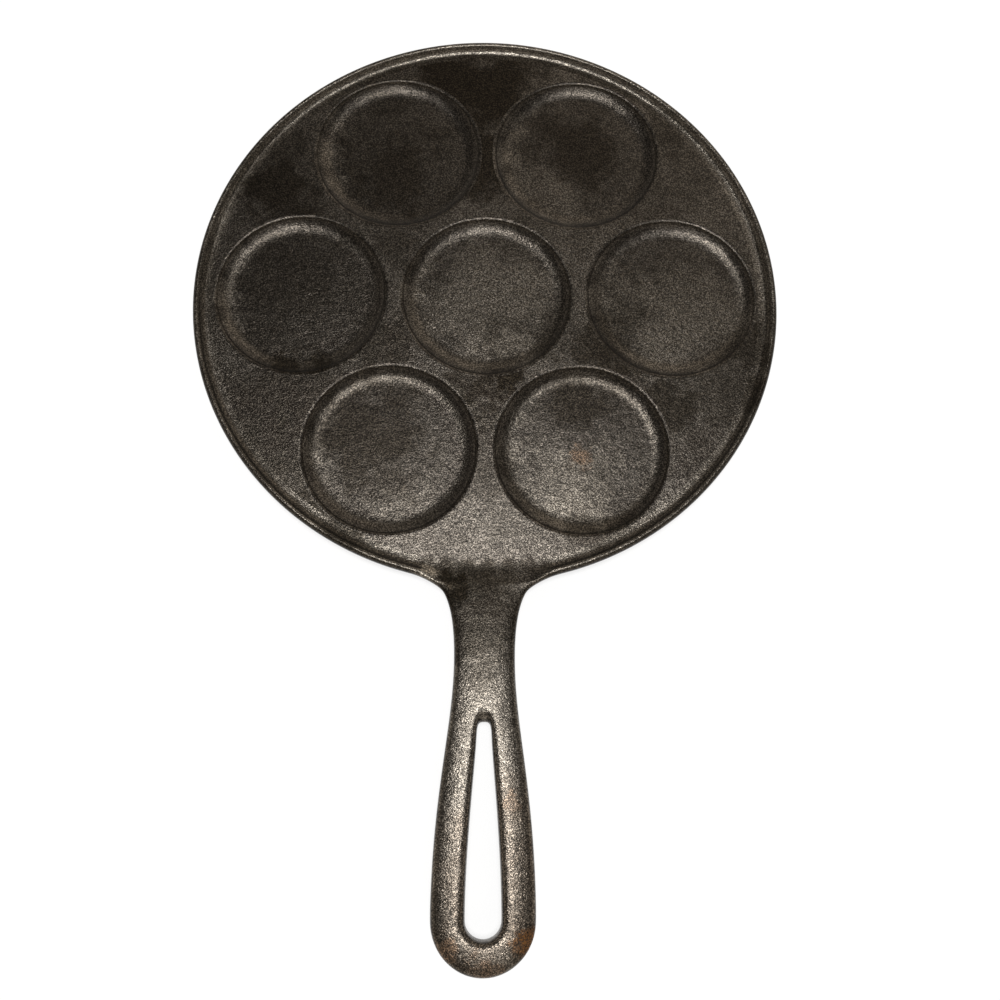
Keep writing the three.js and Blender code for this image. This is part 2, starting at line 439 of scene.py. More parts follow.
# Corners of an arm's cage, from its outside to the slot, in shares of its width and half-thickness
ARM_COLUMNS = (
    ((0.97, 0.7), (1, 0.28), (1, -0.3), (0.97, -0.8)),
    ((0.7, 0.9), (0.7, 0.3), (0.7, -0.3), (0.7, -0.94)),
    ((0.28, 1.035), (0.3, 0.3), (0.3, -0.3), (0.3, -1.02)),
    ((0.03, 0.92), (0, 0.3), (0, -0.3), (0.08, -0.82)),
)

# How much the top of each column rises from the arms to the end of the bow, in shares of its half-thickness
BOW_FLATTER = (0.12, 0.08, 0, 0.04)

# Power of the handle's arch, which rises fast at the rim and levels out
ARCH_POWER = 3.5

# Shares of its span after which each curve of the handle's plan turns
FLARE_RIM_SHARE = 0.6
FLARE_WAIST_SHARE = 0.73
WAIST_SHARE = 0.28
LOOP_SHARE = 0.48
SLOT_INNER_SHARE = 0.1
SLOT_OUTER_SHARE = 0.4


def rim_profile(sizes):
    """Corners of the rim's cage from the plate's top, over the crown and back under the plate."""
    toe = rim_toe_radius(sizes)
    inside = PAN_RADIUS - sizes.rim_width
    width = sizes.rim_width
    height = RIM_TOP - PLATE_TOP
    thickness = PLATE_TOP - PLATE_UNDERSIDE
    profile = [(toe + run * (inside - toe), PLATE_TOP + rise * height) for run, rise in FILLET_CORNERS]
    profile += [(inside + run * width, PLATE_TOP + rise * height) for run, rise in CROWN_CORNERS]
    for run, rise in OUTER_CORNERS:
        profile.append((PAN_RADIUS - run * width, PLATE_UNDERSIDE + rise * thickness))
    return [*profile, (toe, PLATE_UNDERSIDE)]


def curve_value(knots, place):
    """Half-width at a place along the handle, on a curve with four points of half-width and place."""
    points = interpolate_bezier(*[Vector((half, along, 0)) for half, along in knots], CURVE_SAMPLES)
    for near, far in zip(points, points[1:]):
        if far.y <= place <= near.y:
            return near.x + (far.x - near.x) * (near.y - place) / (near.y - far.y)
    return points[-1].x if place < points[-1].y else points[0].x


class HandleShape:
    """Plan and height of the handle, worked out from its sizes."""

    def __init__(self, sizes):
        self.sizes = sizes
        self.length = -PAN_RADIUS - HANDLE_TIP
        self.root_half = sizes.root_width / 2
        self.root_y = -math.sqrt(PAN_RADIUS**2 - self.root_half**2)
        self.waist_half = sizes.waist_width / 2
        self.waist_y = -PAN_RADIUS - sizes.waist_place
        self.loop_y = HANDLE_TIP + LOOP_HALF
        self.slot_half = sizes.slot_width / 2
        self.slot_inner_half = sizes.slot_inner_width / 2
        self.slot_start_y = -PAN_RADIUS - sizes.neck_length

    def outer_half(self, y):
        """Half of the handle's width at y."""
        if y > self.waist_y:
            reach = FLARE_RIM_SHARE * (self.root_half - self.waist_half)
            along_x = reach * self.root_y / PAN_RADIUS
            along_y = -reach * self.root_half / PAN_RADIUS
            return curve_value(
                (
                    (self.root_half, self.root_y),
                    (self.root_half + along_x, self.root_y + along_y),
                    (self.waist_half, self.waist_y + FLARE_WAIST_SHARE * (self.root_y - self.waist_y)),
                    (self.waist_half, self.waist_y),
                ),
                y,
            )
        span = self.waist_y - self.loop_y
        return curve_value(
            (
                (self.waist_half, self.waist_y),
                (self.waist_half, self.waist_y - WAIST_SHARE * span),
                (LOOP_HALF, self.loop_y + LOOP_SHARE * span),
                (LOOP_HALF, self.loop_y),
            ),
            y,
        )

    def inner_half(self, y):
        """Half of the slot's width at y."""
        start = self.slot_start_y - self.slot_inner_half
        span = start - self.loop_y
        return curve_value(
            (
                (self.slot_inner_half, start),
                (self.slot_inner_half, start - SLOT_INNER_SHARE * span),
                (self.slot_half, self.loop_y + SLOT_OUTER_SHARE * span),
                (self.slot_half, self.loop_y),
            ),
            y,
        )

    def share_along(self, y):
        """Share of the handle's length between the rim and y."""
        return min(max((-PAN_RADIUS - y) / self.length, 0), 1)

    def middle(self, y):
        """Height of the middle of the handle's thickness at y."""
        root = RIM_TOP - self.sizes.root_thickness / 2
        return root + self.sizes.handle_rise * (1 - (1 - self.share_along(y)) ** ARCH_POWER)

    def half_thickness(self, y):
        """Half of the handle's thickness at y."""
        root = self.sizes.root_thickness
        return (root + (self.sizes.loop_thickness - root) * self.share_along(y)) / 2

    def root_dip(self, y):
        """How far the handle's top lies under its arch near the rim."""
        away = min((-PAN_RADIUS - y) / self.sizes.root_dip_run, 1)
        return self.sizes.root_dip * (1 - away) ** 2


def ring_corner(profile, row, column):
    """A corner of the rim's cage, with its column counted from the handle's middle."""
    angle = -math.pi / 2 + column * 2 * math.pi / RIM_SIDES
    radius, height = profile[row]
    return Vector((radius * math.cos(angle), radius * math.sin(angle), height))


def root_corners(profile):
    """Places of the rim's corners under the handle, eased from the rim's section into one smooth slope."""
    toe = profile[0][0]
    corners = {}
    for column in range(-HANDLE_COLUMNS, HANDLE_COLUMNS + 1):
        left = 1 - SLOPE_FALL * (column / HANDLE_COLUMNS) ** 2
        slope = list(profile)
        for row, run, rise in ROOT_SLOPE:
            slope[row] = (toe + run, PLATE_TOP + (rise * left if rise > 0 else rise))
        part = (CROWN_WHOLE - abs(column)) / (CROWN_WHOLE - SLOPE_WHOLE)
        part = min(max(part, 0), 1)
        part = part * part * (3 - 2 * part)
        for row in range(len(profile)):
            rim = ring_corner(profile, row, column)
            corners[row, column] = rim.lerp(ring_corner(slope, row, column), part)
    return corners


def neck_section(shape, y):
    """Corners of the cage across the solid neck, from its left side to its right."""
    half = shape.outer_half(y)
    thick = shape.half_thickness(y)
    middle = shape.middle(y)
    corners = []
    for column in range(-HANDLE_COLUMNS, HANDLE_COLUMNS + 1):
        if abs(column) == HANDLE_COLUMNS:
            spots = NECK_SIDE
        else:
            place, height = NECK_COLUMNS[abs(column)]
            spots = [(place, row) for row in (height, INSIDE_ROW, -INSIDE_ROW, -height)]
        side = -1 if column < 0 else 1
        for row, (place, height) in enumerate(spots):
            dip = shape.root_dip(y) if row == 0 else 0
            corners.append(Vector((side * place * half, y, middle + height * thick - dip)))
    return corners


def slot_start_section(shape):
    """The neck's last section, with its upper and lower edges drawn back where the slot begins."""
    corners = neck_section(shape, shape.slot_start_y)
    for column in (-1, 0, 1):
        back = shape.sizes.slot_slope if column == 0 else shape.sizes.slot_slope / 2
        first = (column + HANDLE_COLUMNS) * SECTION_ROWS
        corners[first].y += back
        corners[first + SECTION_ROWS - 1].y += back
    return corners


def arm_section(shape, outer, inner, side, bow):
    """Corners of the cage across one arm, from its outside to the slot, at a share of the bow."""
    outer = Vector((side * outer[0], outer[1], 0))
    inner = Vector((side * inner[0], inner[1], 0))
    corners = []
    for column, flatter in zip(ARM_COLUMNS, BOW_FLATTER):
        for row, (place, height) in enumerate(column):
            spot = inner.lerp(outer, place)
            if row == 0:
                height += flatter * bow
            spot.z = shape.middle(spot.y) + height * shape.half_thickness(spot.y)
            corners.append(spot)
    return corners


def loop_sections(shape):
    """Sections of both arms, from the slot's inner end round to the tip."""
    sections = []
    start = shape.slot_start_y - ARM_START
    for step in range(ARM_STEPS):
        y = start + (shape.loop_y - start) * step / ARM_STEPS
        sections.append(((shape.outer_half(y), y), (shape.inner_half(y), y), 0))
    for step in range(BOW_STEPS + 1):
        angle = math.pi / 2 * step / BOW_STEPS
        across, along = math.cos(angle), math.sin(angle)
        outer = (LOOP_HALF * across, shape.loop_y - LOOP_HALF * along)
        inner = (shape.slot_half * across, shape.loop_y - shape.slot_half * along)
        sections.append((outer, inner, along))
    return [
        arm_section(shape, outer, inner, -1, bow) + arm_section(shape, outer, inner, 1, bow)
        for outer, inner, bow in sections
    ]


def reversed_columns(section):
    """The columns of a section from last to first."""
    columns = [section[i:i + SECTION_ROWS] for i in range(0, len(section), SECTION_ROWS)]
    return [corner for column in reversed(columns) for corner in column]


def move_corners(piece, places, next_places, only_selected):
    """Moves the corners that are at the places to the next places."""
    mesh = bmesh.from_edit_mesh(piece.data)
    for vert in mesh.verts:
        if only_selected and not vert.select:
            continue
        nearest = min(range(len(places)), key=lambda i: (vert.co - places[i]).length_squared)
        if (vert.co - places[nearest]).length < CLOSE:
            vert.co = next_places[nearest]
    bmesh.update_edit_mesh(piece.data)


def carry_on(piece, section, next_section):
    """Extrudes the selected faces and moves their corners from one section's places to the next one's."""
    bpy.ops.mesh.extrude_region_move()
    move_corners(piece, section, next_section, only_selected=True)


def select_root(piece, profile):
    """Selects the faces on the outside of the rim that the handle grows out of."""
    middles = []
    for column in range(-HANDLE_COLUMNS, HANDLE_COLUMNS):
        for row in RIM_ROWS[:-1]:
            corners = [ring_corner(profile, row + i, column + j) for i in (0, 1) for j in (0, 1)]
            middles.append(sum(corners, Vector()) / len(corners))
    mesh = bmesh.from_edit_mesh(piece.data)
    for face in mesh.faces:
        spot = face.calc_center_median()
        face.select_set(any((spot - middle).length < CLOSE for middle in middles))
    bmesh.update_edit_mesh(piece.data)


def keep_arms_selected(piece, slot_half):
    """Leaves only the faces beside the slot selected."""
    mesh = bmesh.from_edit_mesh(piece.data)
    for face in mesh.faces:
        if face.select and abs(face.calc_center_median().x) < slot_half:
            face.select_set(False)
    bmesh.update_edit_mesh(piece.data)


def crease_inner_edges(piece, profile):
    """Keeps the two edges where the ring meets the plate sharp."""
    bpy.ops.mesh.select_all(action="DESELECT")
    mesh = bmesh.from_edit_mesh(piece.data)
    toe = profile[0][0]
    for edge in mesh.edges:
        radii = [math.hypot(vert.co.x, vert.co.y) for vert in edge.verts]
        heights = [vert.co.z for vert in edge.verts]
        level = abs(heights[0] - heights[1]) < CLOSE
        edge.select_set(level and max(radii) < toe + CLOSE)
    bmesh.update_edit_mesh(piece.data)
    bpy.ops.transform.edge_crease(value=1)


def model_ring(profile):
    """A ring with the rim's section, from the plate's edge round to its underside, left in edit mode."""
    ring = add_circle(RIM_SIDES, *profile[0], "NOTHING")
    open_mesh("EDGE")
    extrude_profile(profile + [profile[0]])
    clean_mesh()
    return ring


def model_rim_and_handle(sizes):
    """A ring with the rim's section, and a handle extruded from its near side, smoothed as one casting."""
    profile = [(radius / RING_SHRINK, height) for radius, height in rim_profile(sizes)]
    piece = model_ring(profile)
    crease_inner_edges(piece, profile)
    bpy.ops.mesh.select_mode(type="FACE")
    select_root(piece, profile)
    eased = root_corners(profile)
    plain = [ring_corner(profile, row, column) for row, column in eased]
    move_corners(piece, plain, list(eased.values()), only_selected=False)

    shape = HandleShape(sizes)
    columns = range(-HANDLE_COLUMNS, HANDLE_COLUMNS + 1)
    section = [eased[row, column] for column in columns for row in RIM_ROWS]
    neck = [neck_section(shape, -PAN_RADIUS - step) for step in NECK_STEPS]
    for next_section in [*neck, slot_start_section(shape)]:
        carry_on(piece, section, next_section)
        section = next_section

    slot_corner = section[(1 + HANDLE_COLUMNS) * SECTION_ROWS]
    keep_arms_selected(piece, slot_corner.x)
    arm_corners = HANDLE_COLUMNS * SECTION_ROWS
    section = section[:arm_corners] + reversed_columns(section[-arm_corners:])
    for next_section in loop_sections(shape):
        carry_on(piece, section, next_section)
        section = next_section
    bpy.ops.mesh.delete(type="FACE")
    close_mesh()

    smooth = piece.modifiers.new("Smooth casting", "SUBSURF")
    smooth.levels = SMOOTH_LEVELS
    smooth.render_levels = SMOOTH_LEVELS
    bpy.ops.object.modifier_apply(modifier=smooth.name)
    return piece


class PlettRimHandle(bpy.types.Operator):
    """Casts the rim and the handle in one"""

    bl_idname = "mesh.plett_rim_handle"
    bl_label = "Rim and handle"
    bl_options = {"REGISTER", "UNDO"}

    def execute(self, context):
        piece = model_rim_and_handle(context.scene.plett_pan_sizes)
        material = handle_finish(context.scene.plett_pan_finish)
        finish_piece(piece, "rim_and_handle_casting", material, ["rim", *HANDLE_NODES])
        return {"FINISHED"}


# Finish

# Detail and roughness of each noise, and the middle of its values
PEBBLE_NOISE = (2, 0.6)
SWELL_NOISE = (2, 0.5)
PATCH_NOISE = (3, 0.55)
MOTTLE_NOISE = (4, 0.65)
STAIN_NOISE = (4, 0.65)
NOISE_MIDDLE = 0.5

# Slow swell under the grain: its spacing and its height, as multiples of the grain's
SWELL_SPACING = 6
SWELL_HEIGHT = 1.5

# Patches of thick oil: their size, the noise at which they begin and are whole, and their strength
PATCH_SIZE = 38 * MM
PATCH_EDGE = (0.5, 0.72)
PATCH_STRENGTH = 0.6

# Mottle of the thin film: how much finer than the patches it is, the noise at which it begins and is whole,
# and its strength
MOTTLE_FINER = 7
MOTTLE_EDGE = (0.3, 0.7)
MOTTLE_STRENGTH = 0.35

# Stains: waves of noise to one radius, how far they carry the edge of ragged stains and of soft ones, and
# the share of the radius that is stained throughout
STAIN_WAVES = 1.6
RAGGED = 2.4
SOFT = 0.75
STAIN_CORE = 0.35

# How much of a metal's look the thin film, the thick oil and the rust have
FILM_METAL = 0.92
SEASONING_METAL = 0.95
RUST_METAL = 0.6

# Grain heights at which rust begins and is whole, and those of the grain's pits and tops
RUST_GRAIN = (0.25, 0.5)
GRAIN_SPAN = (0.34, 0.66)


def add_node(tree, kind, **values):
    """A node with its settings, and with its input sockets set by name or number."""
    node = tree.nodes.new(kind)
    for key, value in values.items():
        if key == "inputs":
            for socket, number in value.items():
                node.inputs[socket].default_value = number
        else:
            setattr(node, key, value)
    return node


def new_group(name, inputs, outputs):
    """A shader node group with named sockets, and its two end nodes."""
    group = bpy.data.node_groups.new(name, "ShaderNodeTree")
    for socket, kind in inputs:
        group.interface.new_socket(socket, in_out="INPUT", socket_type=kind)
    for socket, kind in outputs:
        group.interface.new_socket(socket, in_out="OUTPUT", socket_type=kind)
    return group, group.nodes.new("NodeGroupInput"), group.nodes.new("NodeGroupOutput")


def feed(tree, socket, value):
    """Links a value into a socket, or sets the socket where the value is plain."""
    if isinstance(value, bpy.types.NodeSocket):
        tree.links.new(value, socket)
    else:
        socket.default_value = value


def math_node(tree, operation, first, second=None):
    """A Math node whose operands are sockets or numbers."""
    node = add_node(tree, "ShaderNodeMath", operation=operation)
    feed(tree, node.inputs[0], first)
    if second is not None:
        feed(tree, node.inputs[1], second)
    return node.outputs[0]


def ramp(tree, value, low, high, out_low=0, out_high=1, curve="SMOOTHSTEP"):
    """A smooth step from one value to another."""
    ends = {"From Min": low, "From Max": high, "To Min": out_low, "To Max": out_high}
    node = add_node(tree, "ShaderNodeMapRange", interpolation_type=curve, inputs=ends)
    tree.links.new(value, node.inputs["Value"])
    return node.outputs["Result"]


def linear(tree, value, low, high, out_low=0, out_high=1):
    """A straight change from one value to another, held at its ends."""
    return ramp(tree, value, low, high, out_low, out_high, "LINEAR")


def noise(tree, vector, scale, detail, roughness):
    """A noise pattern at a scale that a socket gives."""
    node = add_node(tree, "ShaderNodeTexNoise", inputs={"Detail": detail, "Roughness": roughness})
    tree.links.new(vector, node.inputs["Vector"])
    tree.links.new(scale, node.inputs["Scale"])
    return node.outputs["Fac"]


def sand_cast_group():
    """Height of the marks that the mould's sand leaves, with a slow swell under them."""
    name = "Sand-cast grain"
    if name in bpy.data.node_groups:
        return bpy.data.node_groups[name]
    group, start, end = new_group(
        name,
        [("Vector", "NodeSocketVector"), ("Grain Size", "NodeSocketFloat")],
        [("Height", "NodeSocketFloat"), ("Speck", "NodeSocketFloat")],
    )
    vector = start.outputs["Vector"]
    scale = math_node(group, "DIVIDE", 1, start.outputs["Grain Size"])
    pebbles = noise(group, vector, scale, *PEBBLE_NOISE)
    swell = noise(group, vector, math_node(group, "DIVIDE", scale, SWELL_SPACING), *SWELL_NOISE)
    height = math_node(group, "ADD", pebbles, math_node(group, "MULTIPLY", swell, SWELL_HEIGHT))
    group.links.new(height, end.inputs["Height"])
    group.links.new(pebbles, end.inputs["Speck"])
    return group


def seasoning_group():
    """Where the baked-on oil is thick, as soft patches with a finer mottle in them."""
    name = "Oil seasoning"
    if name in bpy.data.node_groups:
        return bpy.data.node_groups[name]
    group, start, end = new_group(
        name,
        [("Vector", "NodeSocketVector"), ("Patch Size", "NodeSocketFloat")],
        [("Thick", "NodeSocketFloat"), ("Mottle", "NodeSocketFloat")],
    )
    vector = start.outputs["Vector"]
    scale = math_node(group, "DIVIDE", 1, start.outputs["Patch Size"])
    patches = noise(group, vector, scale, *PATCH_NOISE)
    mottle = noise(group, vector, math_node(group, "MULTIPLY", scale, MOTTLE_FINER), *MOTTLE_NOISE)
    group.links.new(ramp(group, patches, *PATCH_EDGE), end.inputs["Thick"])
    group.links.new(mottle, end.inputs["Mottle"])
    return group


def mark_group():
    """A ragged stain about one place, from 1 at its middle to 0 outside it."""
    name = "Placed stain"
    if name in bpy.data.node_groups:
        return bpy.data.node_groups[name]
    group, start, end = new_group(
        name,
        [
            ("Vector", "NodeSocketVector"),
            ("Centre", "NodeSocketVector"),
            ("Radius", "NodeSocketFloat"),
            ("Ragged", "NodeSocketFloat"),
        ],
        [("Mask", "NodeSocketFloat")],
    )
    vector = start.outputs["Vector"]
    radius = start.outputs["Radius"]
    away = add_node(group, "ShaderNodeVectorMath", operation="DISTANCE")
    group.links.new(vector, away.inputs[0])
    group.links.new(start.outputs["Centre"], away.inputs[1])
    near = math_node(group, "DIVIDE", away.outputs["Value"], radius)
    edge = noise(group, vector, math_node(group, "DIVIDE", STAIN_WAVES, radius), *STAIN_NOISE)
    wave = math_node(group, "SUBTRACT", edge, NOISE_MIDDLE)
    reach = math_node(group, "ADD", near, math_node(group, "MULTIPLY", wave, start.outputs["Ragged"]))
    group.links.new(ramp(group, reach, STAIN_CORE, 1, 1, 0), end.inputs["Mask"])
    return group


def place_group(tree, group, vector, **values):
    """A node group in a material, reading the piece's own coordinates."""
    node = add_node(tree, "ShaderNodeGroup", node_tree=group)
    tree.links.new(vector, node.inputs["Vector"])
    for socket, value in values.items():
        node.inputs[socket.replace("_", " ").title()].default_value = value
    return node


def mix_color(tree, mask, first, second):
    """A blend of two colours, each a socket or a plain colour."""
    node = add_node(tree, "ShaderNodeMix", data_type="RGBA")
    tree.links.new(mask, node.inputs["Factor"])
    for name, value in (("A", first), ("B", second)):
        socket = [entry for entry in node.inputs if entry.name == name and entry.type == "RGBA"][0]
        feed(tree, socket, value if isinstance(value, bpy.types.NodeSocket) else (*value, 1))
    return [entry for entry in node.outputs if entry.type == "RGBA"][0]


def largest(tree, masks):
    """The strongest of several masks."""
    result = masks[0]
    for mask in masks[1:]:
        result = math_node(tree, "MAXIMUM", result, mask)
    return result


def stains(tree, vector, spots, ragged):
    """Masks of several stains, each a place, a radius and a strength."""
    masks = []
    for place, radius, strength in spots:
        stain = place_group(tree, mark_group(), vector, centre=place, radius=radius, ragged=ragged)
        masks.append(math_node(tree, "MULTIPLY", stain.outputs["Mask"], strength))
    return masks


class Line(NamedTuple):
    """A line along one height, which fades between two places along the pan, or nowhere on it."""

    height: float
    half_width: float
    strength: float
    whole: float = PAN_RADIUS
    gone: float = 2 * PAN_RADIUS


def height_lines(tree, vector, lines):
    """Masks of several lines."""
    split = add_node(tree, "ShaderNodeSeparateXYZ")
    tree.links.new(vector, split.inputs[0])
    masks = []
    for line in lines:
        away = math_node(tree, "ABSOLUTE", math_node(tree, "SUBTRACT", split.outputs["Z"], line.height))
        level = ramp(tree, away, line.half_width / 2, line.half_width, line.strength, 0)
        along = ramp(tree, split.outputs["Y"], line.whole, line.gone, 1, 0)
        masks.append(math_node(tree, "MULTIPLY", level, along))
    return masks


class Ring(NamedTuple):
    """A line along one circle about the pan's axis."""

    radius: float
    half_width: float
    strength: float


def ring_lines(tree, vector, rings):
    """Masks of several rings."""
    flat = add_node(tree, "ShaderNodeVectorMath", operation="MULTIPLY", inputs={1: (1, 1, 0)})
    tree.links.new(vector, flat.inputs[0])
    reach = add_node(tree, "ShaderNodeVectorMath", operation="LENGTH")
    tree.links.new(flat.outputs[0], reach.inputs[0])
    masks = []
    for ring in rings:
        away = math_node(tree, "ABSOLUTE", math_node(tree, "SUBTRACT", reach.outputs["Value"], ring.radius))
        masks.append(ramp(tree, away, ring.half_width / 2, ring.half_width, ring.strength, 0))
    return masks


class Marks(NamedTuple):
    """Marks on one finish: dark stains, lines and rings, some of them painted shade; lighter places and
    lines of wear, painted sheen and painted highlight; and rust.
    """

    dark_patches: tuple = ()
    soft_painted_shade: tuple = ()
    dark_lines: tuple = ()
    shade_rings: tuple = ()
    worn_and_sheen: tuple = ()
    lighter_marks: tuple = ()
    rust: tuple = ()


def iron_material(name, finish, iron, marks):
    """Sand-cast iron: a thin oil film, thicker dark patches, darker stains, bare places and specks of rust,
    with painted shade and painted sheen among the marks, and painted shade and glints in the grain's
    colour.
    """
    if name in bpy.data.materials:
        return bpy.data.materials[name]
    material = bpy.data.materials.new(name)
    material.use_nodes = True
    tree = material.node_tree
    shader = tree.nodes["Principled BSDF"]
    vector = add_node(tree, "ShaderNodeTexCoord").outputs["Object"]
    grain = place_group(tree, sand_cast_group(), vector, grain_size=finish.grain_size)
    oil = place_group(tree, seasoning_group(), vector, patch_size=PATCH_SIZE)

    dark = [math_node(tree, "MULTIPLY", oil.outputs["Thick"], PATCH_STRENGTH)]
    dark += stains(tree, vector, marks.dark_patches, RAGGED)
    dark += stains(tree, vector, marks.soft_painted_shade, SOFT)
    dark += height_lines(tree, vector, marks.dark_lines)
    dark += ring_lines(tree, vector, marks.shade_rings)
    # The dark mask holds the thick oil, the darker stains and lines, and the painted shade
    thick = largest(tree, dark)
    mottle = ramp(tree, oil.outputs["Mottle"], *MOTTLE_EDGE, 0, MOTTLE_STRENGTH)
    film = mix_color(tree, mottle, iron, finish.seasoning_and_shade)
    rough = ramp(tree, thick, 0, 1, finish.iron_roughness, finish.seasoning_roughness)
    # Lighter marks: bare worn iron, painted sheen on the wells' walls and a painted highlight on the rim's
    # crown
    lighter_marks = stains(tree, vector, marks.worn_and_sheen, RAGGED) + height_lines(tree, vector, marks.lighter_marks)
    if lighter_marks:
        worn_and_sheen = largest(tree, lighter_marks)
        film = mix_color(tree, worn_and_sheen, film, finish.worn_iron_and_sheen)
        rough = math_node(tree, "MAXIMUM", rough, math_node(tree, "MULTIPLY", worn_and_sheen, finish.worn_roughness))
        thick = math_node(tree, "MULTIPLY", thick, math_node(tree, "SUBTRACT", 1, worn_and_sheen))
    base = mix_color(tree, thick, film, finish.seasoning_and_shade)
    metal = ramp(tree, thick, 0, 1, FILM_METAL, SEASONING_METAL)
    if marks.rust:
        rusty = largest(tree, stains(tree, vector, marks.rust, RAGGED))
        rusty = math_node(tree, "MULTIPLY", rusty, ramp(tree, grain.outputs["Speck"], *RUST_GRAIN))
        base = mix_color(tree, rusty, base, finish.rust)
        rough = math_node(tree, "MAXIMUM", rough, math_node(tree, "MULTIPLY", rusty, finish.rust_roughness))
        metal = math_node(tree, "MULTIPLY", metal, ramp(tree, rusty, 0, 1, 1, RUST_METAL))
    # The grain's specks paint shade into its pits and glints onto its tops
    speck = linear(tree, grain.outputs["Speck"], *GRAIN_SPAN)
    glint = math_node(tree, "MULTIPLY", speck, speck)
    grainy = add_node(tree, "ShaderNodeVectorMath", operation="SCALE")
    tree.links.new(base, grainy.inputs[0])
    tree.links.new(linear(tree, glint, 0, 1, finish.grain_pit_shade, finish.grain_top_glint), grainy.inputs["Scale"])
    tree.links.new(grainy.outputs[0], shader.inputs["Base Color"])
    tree.links.new(rough, shader.inputs["Roughness"])
    tree.links.new(metal, shader.inputs["Metallic"])
    bump = add_node(tree, "ShaderNodeBump", inputs={"Strength": 1, "Distance": finish.grain_depth})
    tree.links.new(grain.outputs["Height"], bump.inputs["Height"])
    tree.links.new(bump.outputs["Normal"], shader.inputs["Normal"])
    return material


def spots_at(height, *rows):
    """Stains at one height, from rows of x, y and radius in millimetres and a strength."""
    return tuple(((x * MM, y * MM, height), radius * MM, strength) for x, y, radius, strength in rows)


# Dark lines: a darker line low on the wells' edges, painted shade in the rim's hollow and on its crown,
# burnt oil on the underside and on the wells' feet, a darker line where the rim's hollow leaves the plate,
# and a ring of painted shade on the rim's outer edge
# A darker line low on each well's rounded edge and the top of its wall, all the way round
WELL_EDGE_DARK_LINE = Line(PLATE_TOP - 0.55 * MM, 0.4 * MM, 0.6)
# Painted shade in the rim's hollow and low on the handle's sides, on the near half and the sides; the far
# hollow keeps its highlight
FILLET_PAINTED_SHADE = Line(PLATE_TOP + 0.9 * MM, 0.95 * MM, 0.6, whole=PAN_RADIUS / 6, gone=PAN_RADIUS / 3)
# Painted shade on the inner face and outer edge of the rim's crown, and at that height on the handle's foot
# and sides
CROWN_PAINTED_SHADE = Line(PLATE_TOP + 1.8 * MM, 0.75 * MM, 0.6)
FLAME_SOOT = Line(PLATE_UNDERSIDE, 2 * MM, 0.8)
FOOT_SOOT = Line(0, 3 * MM, 0.7)
# A darker line on the flat toe of the rim's hollow at the back, which carries the plate's dark back patch
# onto the rim
TOE_DARK_LINE = Line(PLATE_TOP - 0.2 * MM, 0.5 * MM, 0.8, whole=0.85 * PAN_RADIUS, gone=0.4 * PAN_RADIUS)
# Painted shade in a ring on the rim's outer edge, and across the handle's foot at that radius, where the
# steep face mirrors the floor
EDGE_PAINTED_SHADE = Ring(PAN_RADIUS - 0.1 * MM, 1.6 * MM, 0.75)

# Painted sheen low on the walls of the middle and front wells, where the hollow first rises from the floor
WELL_PAINTED_SHEEN = Line(WELL_FLOOR + 0.4 * MM, 0.42 * MM, 0.09, whole=PAN_RADIUS / 8, gone=PAN_RADIUS / 4)

# Darker patches on the plate alone, and darker patches that run on over the rim
PLATE_DARK_PATCHES = spots_at(
    PLATE_TOP,
    (-2, 102, 36, 1),
    (0, 64, 26, 0.95),
    (72, -48, 18, 0.8),
    (46, -22, 24, 0.9),
    (-45, -22, 20, 0.65),
    (3, -44, 22, 0.85),
    (0, -74, 18, 0.4),
    (70, 41, 22, 0.35),
    (10, -37, 9, 1),
    (-12, -37, 7, 0.7),
    (72, 49, 10, 0.5),
    (-40, 25, 14, 0.5),
    (-70, -86, 16, 0.7),
    (-66, -92, 14, 0.7),
    (-54, -101, 15, 0.9),
)
EDGE_DARK_PATCHES = spots_at(
    PLATE_TOP,
    (-85, 49, 24, 0.88),
    (-86, -52, 40, 0.6),
    (96, -44, 24, 0.5),
    (86, -72, 20, 0.4),
    (108, -20, 16, 0.75),
    (88, 56, 20, 0.35),
    (78, 78, 16, 0.6),
    (-54, -101, 15, 0.8),
)

# Painted shade: a soft dark row where the plate folds up into the handle, and two dark patches on the
# flanks of the handle's foot, partly painted shade that takes a highlight off them
ROOT_PAINTED_SHADE = (
    *spots_at(
        PLATE_TOP,
        (-22, -112.8, 4.5, 0.7),
        (-15, -114, 6, 0.8),
        (-7, -114.8, 6, 0.8),
        (1, -115, 6, 0.8),
        (9, -114.8, 6, 0.75),
        (17, -114, 6, 0.75),
        (23, -113, 4.5, 0.6),
    ),
    *spots_at(9 * MM, (-13.5, -121, 6.5, 0.9), (14.5, -121, 6.5, 0.55)),
)

# Darker patches, rubbed places and rust on the wells' floors
WELL_DARK_PATCHES = spots_at(
    WELL_FLOOR,
    (-40, 58, 28, 0.75),
    (38, 70, 28, 0.8),
    (-84, 6, 26, 0.45),
    (-82, -31, 9, 0.9),
    (-68, -32, 9, 0.9),
    (-46, -56, 28, 0.7),
    (-38, -78, 14, 0.45),
    (36, -43, 18, 0.75),
    (40, -78, 12, 0.3),
    (38, -99, 12, 0.8),
    (78, 10, 18, 0.3),
)
WELL_WORN = spots_at(
    WELL_FLOOR,
    (4, 0, 38, 0.13),
    (8, -20, 16, 0.2),
    (34, -80, 24, 0.11),
    (36, -91, 16, 0.2),
    (-34, -90, 16, 0.08),
    (78, -8, 34, 0.13),
    (24, 46, 22, 0.08),
)
WELL_RUST = spots_at(WELL_FLOOR, (38, -68, 6, 0.35))

